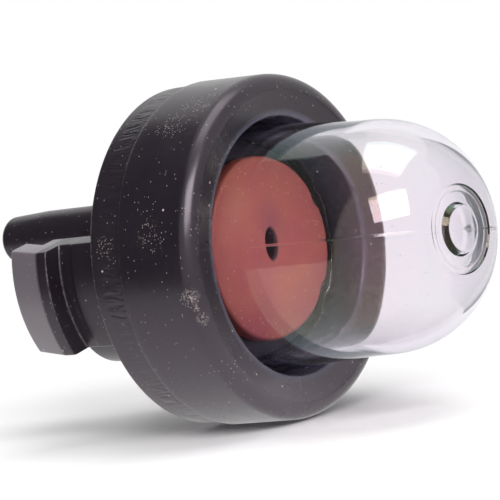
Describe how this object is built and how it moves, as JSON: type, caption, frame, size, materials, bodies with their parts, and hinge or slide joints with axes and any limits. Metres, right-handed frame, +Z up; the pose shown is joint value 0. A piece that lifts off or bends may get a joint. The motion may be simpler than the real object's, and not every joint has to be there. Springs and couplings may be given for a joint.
{
  "type": "primer bulb",
  "caption": "Clear domed primer bulb in a black snap-in bezel, with a red combination valve, two hose nipples and two barbed snap tabs behind the flange.",
  "frame": {"origin": "centre of the flange's rear face, which bears on the machine's panel", "axes": "+X along the bulb's axis, out of the dome; +Z up as in the picture; the snap tabs lie near +Y and -Y"},
  "size_m": [0.0485, 0.0296, 0.0296],
  "materials": {
    "black_plastic": "moulded black plastic with a soft gloss",
    "black_bezel_plastic": "moulded black plastic with a soft gloss and light scuffs",
    "red_silicone": "matt salmon-red silicone",
    "clear_polymer": "clear glossy flexible polyurethane"
  },
  "bodies": {
    "root": {"base_body": "black_plastic", "combination_valve": "red_silicone", "bulb": "clear_polymer", "retaining_ring": "black_bezel_plastic"}
  },
  "joints": []
}
